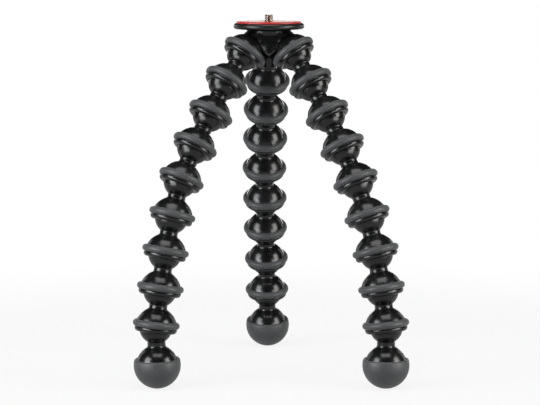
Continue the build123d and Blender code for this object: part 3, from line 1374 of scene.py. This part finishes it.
@dataclass(frozen=True)
class PlateBuilder:
    """Models the camera plate, its pad and its threaded screw."""

    shop: Workshop
    finishes: Finishes
    sizes: PlateSizes = PlateSizes()

    def build(self) -> None:
        """Models the plate, the pad and the screw."""
        self._build_plate()
        self._build_pad()
        self._build_screw()

    def _build_plate(self) -> None:
        """Models the plate with its full round rim and the recess for the pad."""
        size = self.sizes
        half = (size.plate_top - size.plate_bottom) / 2
        middle = (size.plate_radius - half, size.plate_bottom + half)
        recess = size.pad_radius + size.pad_room
        outline = Outline(size.bore_radius, size.plate_bottom)
        outline.arc(middle, half, -90, 90, ROUND_STEP)
        outline.to((recess, size.plate_top), (recess, size.pad_bottom))
        outline.to((size.bore_radius, size.pad_bottom), (size.bore_radius, size.plate_bottom))
        plate = self.shop.turned("camera_plate_disc", outline, size.plate_steps)
        self.shop.smoothed(plate)
        self.shop.fit(plate, "camera_plate", "camera_plate", Slot.GLOSS, self.finishes.satin)

    def _build_pad(self) -> None:
        """Models the rubber pad with rounded edges."""
        size = self.sizes
        outline = Outline(size.pad_hole_radius, size.pad_bottom)
        outline.to((size.pad_radius, size.pad_bottom))
        outline.round((size.pad_radius, 0), (size.pad_hole_radius, 0), size.pad_edge)
        hole_foot = (size.pad_hole_radius, size.pad_bottom)
        outline.round((size.pad_hole_radius, 0), hole_foot, size.pad_edge)
        outline.to(hole_foot)
        pad = self.shop.turned("plate_pad_disc", outline, size.plate_steps)
        self.shop.smoothed(pad)
        self.shop.fit(pad, "camera_plate", "plate_pad", Slot.PAD, self.finishes.pad)

    def thread_radius(self, bearing: float, height: float) -> float:
        """The screw thread's outside.

        Args:
            bearing: The direction from +X, in radians.
            height: The height.

        Returns:
            The thread's radius there.
        """
        size = self.sizes
        turn = (height / size.thread_pitch - bearing / FULL_TURN) % 1.0
        root_start = (1 - size.thread_root_share) / 2
        depth = share_between(min(turn, 1 - turn), size.thread_crest_share / 2, root_start)
        radius = size.thread_radius - depth * (size.thread_radius - size.thread_root)
        tip = size.thread_radius - max(0.0, height - (size.screw_top - size.tip_bevel))
        return min(radius, tip)

    def _build_screw(self) -> None:
        """Models the threaded tip, the shank and the hexagon head."""
        size = self.sizes
        rows = round((size.screw_top - size.pad_bottom) / size.thread_pitch)
        rows *= size.thread_rows_per_pitch
        outline = Outline(0, size.pad_bottom)
        for row in range(rows + 1):
            height = size.pad_bottom + (size.screw_top - size.pad_bottom) * row / rows
            outline.to((size.thread_radius, height))
        outline.to((0, size.screw_top))
        thread = self.shop.turned("camera_screw_thread", outline, size.thread_steps)
        for vertex in thread.data.vertices:
            radius = math.hypot(vertex.co.x, vertex.co.y)
            if radius > size.thread_root / 2:
                bearing = math.atan2(vertex.co.y, vertex.co.x)
                share = self.thread_radius(bearing, vertex.co.z) / radius
                vertex.co.x *= share
                vertex.co.y *= share
        shank_outline = Outline(0, size.head_top)
        shank_outline.to((size.shank_radius, size.head_top))
        shank_outline.round(
            (size.shank_radius, size.pad_bottom), (0, size.pad_bottom), size.pad_edge
        )
        shank_outline.to((0, size.pad_bottom))
        shank = self.shop.turned("camera_screw_shank", shank_outline, size.shank_steps)
        head = self._hexagon_head()
        screw = self.shop.joined("camera_screw_threaded", [thread, shank, head])
        self.shop.smoothed(screw)
        self.shop.fit(screw, "camera_plate", "camera_screw", Slot.SCREW, self.finishes.screw)

    def _hexagon_head(self) -> Piece:
        """Models the screw's hexagon head with eased edges.

        Returns:
            The head, in its place.
        """
        size = self.sizes
        self.shop.alone(None)
        bpy.ops.mesh.primitive_cylinder_add(
            vertices=size.head_sides,
            radius=size.head_flats / 2 / math.cos(math.pi / size.head_sides),
            depth=size.head_top - size.head_bottom,
            location=(0, 0, (size.head_top + size.head_bottom) / 2),
        )
        head = bpy.context.active_object
        bpy.ops.object.transform_apply(location=True, rotation=True, scale=True)
        bevel = head.modifiers.new("edge_rounding", "BEVEL")
        bevel.width = size.head_edge
        bevel.segments = size.head_edge_steps
        bevel.limit_method = "ANGLE"
        bevel.angle_limit = size.head_edge_angle
        bpy.ops.object.modifier_apply(modifier=bevel.name)
        return head


@dataclass(frozen=True)
class SoftBox:
    """A rectangular studio lamp that looks at the object."""

    name: str
    bearing: float
    rise: float
    distance: float
    width: float
    height: float
    power: float
    colour: Colour = (1.0, 1.0, 1.0)
    mirrored_only: bool = False


@dataclass(frozen=True)
class Studio:
    """The floor, the lamps, the surroundings and the camera of the photograph."""

    photo_width: float = 540.0
    focal_pixels: float = 2246.3
    sensor_width: float = 36.0
    camera_place: tuple[float, float, float] = (-0.0165, -1.6825, 0.0642)
    camera_yaw: float = math.radians(0.59)
    camera_pitch: float = math.radians(6.8)
    camera_range: float = 100.0
    floor_radius: float = 1.15
    floor_sides: int = 96
    ambient: float = 0.16
    front_glow: float = 0.02
    back_glow: float = 0.30
    glow_rise: float = 0.08
    behind_from: float = 0.25
    behind_full: float = 0.75
    aim: tuple[float, float, float] = (0.0, 0.0, -0.13)
    lamps: tuple[SoftBox, ...] = (
        SoftBox("left_box", -60, 18, 1.5, 0.78, 0.95, 19.5, (0.97, 0.985, 1.0)),
        SoftBox("right_box", 66, 18, 1.5, 0.68, 0.90, 15.5, (1.0, 0.985, 0.96)),
        SoftBox("top_box", 0, 70, 1.6, 1.3, 1.0, 15.0),
        SoftBox("left_rim", -132, 12, 1.5, 0.30, 0.9, 1.1),
        SoftBox("right_rim", 132, 12, 1.5, 0.30, 0.9, 1.1),
        SoftBox("back_box", 180, 5, 2.2, 2.4, 0.40, 8.0, mirrored_only=True),
        SoftBox("left_low", -50, -7, 0.55, 0.32, 0.24, 1.7, mirrored_only=True),
        SoftBox("right_low", 52, -7, 0.55, 0.32, 0.24, 1.4, mirrored_only=True),
    )

    def build(self) -> None:
        """Sets up the whole studio."""
        self._lay_floor()
        self._set_surroundings()
        for lamp in self.lamps:
            self._hang(lamp)
        self._place_camera()
        bpy.context.scene.view_settings.view_transform = "Standard"

    def _lay_floor(self) -> None:
        """Lays a large round floor at the height of the feet."""
        bpy.ops.object.select_all(action="DESELECT")
        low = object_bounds()[0]
        bpy.ops.mesh.primitive_circle_add(
            vertices=self.floor_sides,
            radius=self.floor_radius,
            fill_type="NGON",
            location=(0, 0, low[2]),
        )
        floor = bpy.context.active_object
        floor.name = "studio_floor"
        floor.data.materials.append(StudioPaper().make())
        floor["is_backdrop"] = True

    def _set_surroundings(self) -> None:
        """Makes the world white to the camera, with a low glow behind and dim light elsewhere."""
        world = bpy.data.worlds.new("studio_surroundings")
        world.use_nodes = True
        bpy.context.scene.world = world
        tree = FinishTree(world.node_tree)
        direction = tree.node("ShaderNodeTexCoord").outputs["Generated"]
        axes = tree.node("ShaderNodeSeparateXYZ", None, {0: direction})
        level = Value(tree, axes.outputs["Z"])
        low = 1 - tree.band(level * level, self.glow_rise**2, (2 * self.glow_rise) ** 2)
        behind = tree.band(Value(tree, axes.outputs["Y"]), self.behind_from, self.behind_full) * low
        seen = tree.looked_at()
        glossy = tree.value("Is Glossy Ray", "ShaderNodeLightPath")
        mirrored = behind * (self.back_glow - self.front_glow) + self.front_glow
        strength = (seen - glossy) + glossy * mirrored + (1 - seen) * self.ambient
        white = (1.0, 1.0, 1.0, 1.0)
        light = tree.node("ShaderNodeBackground", None, {"Color": white, "Strength": strength})
        tree.node("ShaderNodeOutputWorld", None, {"Surface": light.outputs[0]})

    def _hang(self, lamp: SoftBox) -> None:
        """Hangs one soft box so that it faces the object.

        Args:
            lamp: The soft box.
        """
        bearing, rise = math.radians(lamp.bearing), math.radians(lamp.rise)
        back = polar(math.cos(rise), bearing - math.pi / 2, math.sin(rise))
        place = Vector(self.aim) + back * lamp.distance
        bpy.ops.object.light_add(
            type="AREA", location=place, rotation=back.to_track_quat("Z", "Y").to_euler()
        )
        light = bpy.context.active_object
        light.name = lamp.name
        light.visible_camera = False
        light.visible_diffuse = not lamp.mirrored_only
        light.data.shape = "RECTANGLE"
        light.data.size = lamp.width
        light.data.size_y = lamp.height
        light.data.energy = lamp.power
        light.data.color = lamp.colour

    def _place_camera(self) -> None:
        """Places the camera of the photograph."""
        bpy.ops.object.camera_add(
            location=self.camera_place,
            rotation=(math.pi / 2 - self.camera_pitch, 0, -self.camera_yaw),
        )
        camera = bpy.context.active_object
        camera.name = "photograph_camera"
        camera.data.sensor_width = self.sensor_width
        camera.data.lens = self.focal_pixels / self.photo_width * self.sensor_width
        camera.data.clip_end = self.camera_range
        bpy.context.scene.camera = camera


def main() -> None:
    """Makes the materials and the studio, then builds the object's pieces in order."""
    logging.basicConfig(level=logging.INFO, format="%(message)s")
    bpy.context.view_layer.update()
    shop = Workshop()
    finishes = Finishes(
        gloss=GlossPlastic().make(),
        satin=GlossPlastic(name="black_satin_plastic", roughness=0.33).make(),
        grip=GripRubber().make(),
        pad=PadRubber().make(),
        screw=ScrewSteel().make(),
    )
    joint = BallJoint()
    skeleton = Skeleton(Foot(joint))
    Studio().build()
    HubBuilder(shop, finishes, joint, skeleton).build()
    LegBuilder(shop, finishes, joint, skeleton).build()
    PlateBuilder(shop, finishes).build()
    LOG.info("%d pieces", len(shop.made))


if __name__ == "__main__":
    main()
